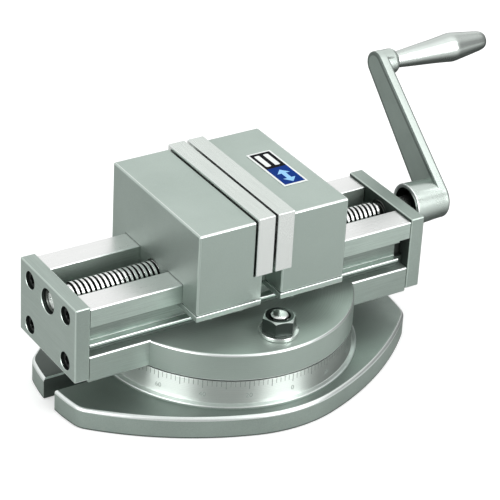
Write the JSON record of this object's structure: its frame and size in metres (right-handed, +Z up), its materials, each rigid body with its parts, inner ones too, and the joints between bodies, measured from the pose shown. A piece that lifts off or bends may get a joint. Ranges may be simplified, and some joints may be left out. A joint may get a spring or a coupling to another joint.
{
  "type": "machine vise",
  "caption": "Self-centring machine vise on a graduated swivel base: a left- and right-hand screw drives both jaws, turned by a crank handle.",
  "frame": {"origin": "on the swivel axis, in the plane of the base's underside", "axes": "+X along the lead screw to the crank, +Y across the jaws to the rear, +Z up along the swivel axis"},
  "size_m": [0.3544, 0.176, 0.1431],
  "materials": {
    "satin_iron": "ground and satin blasted cast iron",
    "machined_steel": "fine milled",
    "ground_steel": "hardened and surface ground",
    "bright_screw": "rolled thread, bright",
    "crank_metal": "cast steel, satin polished",
    "dark_zinc": "dark passivated zinc",
    "zinc_plate": "bright zinc plate",
    "black_oxide": "black oxide",
    "bronze": "turned bronze",
    "label_blue": "satin printed foil with a plain pictogram"
  },
  "bodies": {
    "base": {"swivel_base": "satin_iron", "swivel_pivot_pin": "machined_steel"},
    "bed": {"bearing_block_cap": "machined_steel", "bearing_block_lower": "machined_steel", "bearing_cap_screw_1": "black_oxide", "bearing_cap_screw_2": "black_oxide", "front_clamp_washer": "zinc_plate", "front_tee_bolt": "zinc_plate", "left_end_bush": "bronze", "left_end_plate": "machined_steel", "left_end_plate_screw_1": "black_oxide", "left_end_plate_screw_2": "black_oxide", "left_end_plate_screw_3": "black_oxide", "left_end_plate_screw_4": "black_oxide", "rear_clamp_washer": "zinc_plate", "rear_tee_bolt": "zinc_plate", "right_end_bush": "bronze", "right_end_plate": "machined_steel", "right_end_plate_screw_1": "black_oxide", "right_end_plate_screw_2": "black_oxide", "right_end_plate_screw_3": "black_oxide", "right_end_plate_screw_4": "black_oxide", "vise_bed": "satin_iron"},
    "lead_screw": {"lead_screw": "bright_screw", "crank_arm": "crank_metal", "crank_set_screw": "black_oxide", "grip_spindle": "zinc_plate"},
    "grip": {"crank_grip": "crank_metal"},
    "left_jaw": {"left_front_keeper": "satin_iron", "left_front_keeper_screw_1": "zinc_plate", "left_front_keeper_screw_2": "zinc_plate", "left_jaw": "satin_iron", "left_jaw_nut": "bronze", "left_jaw_plate": "ground_steel", "left_jaw_plate_screw_1": "black_oxide", "left_jaw_plate_screw_2": "black_oxide", "left_nut_screw_1": "black_oxide", "left_nut_screw_2": "black_oxide", "left_rear_keeper": "satin_iron", "left_rear_keeper_screw_1": "zinc_plate", "left_rear_keeper_screw_2": "zinc_plate"},
    "right_jaw": {"right_front_keeper": "satin_iron", "right_front_keeper_screw_1": "zinc_plate", "right_front_keeper_screw_2": "zinc_plate", "right_jaw": "satin_iron", "right_jaw_nut": "bronze", "right_jaw_plate": "ground_steel", "right_jaw_plate_screw_1": "black_oxide", "right_jaw_plate_screw_2": "black_oxide", "right_nut_screw_1": "black_oxide", "right_nut_screw_2": "black_oxide", "right_rear_keeper": "satin_iron", "right_rear_keeper_screw_1": "zinc_plate", "right_rear_keeper_screw_2": "zinc_plate", "jaw_label": "label_blue"},
    "front_clamp_nut": {"front_clamp_nut": "dark_zinc"},
    "rear_clamp_nut": {"rear_clamp_nut": "dark_zinc"}
  },
  "joints": [
    {"name": "swivel", "type": "hinge", "parent": "base", "child": "bed", "pos_m": [0, 0, 0.0317], "axis": [0, 0, 1], "continuous": true},
    {"name": "screw_turn", "type": "hinge", "parent": "bed", "child": "lead_screw", "pos_m": [0, 0, 0.071], "axis": [1, 0, 0], "range_deg": [-95, 5440]},
    {"name": "grip_spin", "type": "hinge", "parent": "lead_screw", "child": "grip", "pos_m": [0.1643, 0.0695, 0.1337], "axis": [1, 0, 0], "continuous": true},
    {"name": "left_jaw_slide", "type": "slide", "parent": "bed", "child": "left_jaw", "axis": [-1, 0, 0], "range_m": [-0.00084, 0.048]},
    {"name": "right_jaw_slide", "type": "slide", "parent": "bed", "child": "right_jaw", "axis": [1, 0, 0], "range_m": [-0.00084, 0.048]},
    {"name": "front_nut_turn", "type": "hinge", "parent": "bed", "child": "front_clamp_nut", "pos_m": [0, -0.06, 0.0523], "axis": [0, 0, 1], "range_deg": [0, 180]},
    {"name": "rear_nut_turn", "type": "hinge", "parent": "bed", "child": "rear_clamp_nut", "pos_m": [0, 0.06, 0.0523], "axis": [0, 0, 1], "range_deg": [0, 180]}
  ],
  "couplings": [
    {"joint": "left_jaw_slide", "follows": "screw_turn", "m_per_rad": 0.00050532},
    {"joint": "right_jaw_slide", "follows": "screw_turn", "m_per_rad": 0.00050532}
  ]
}
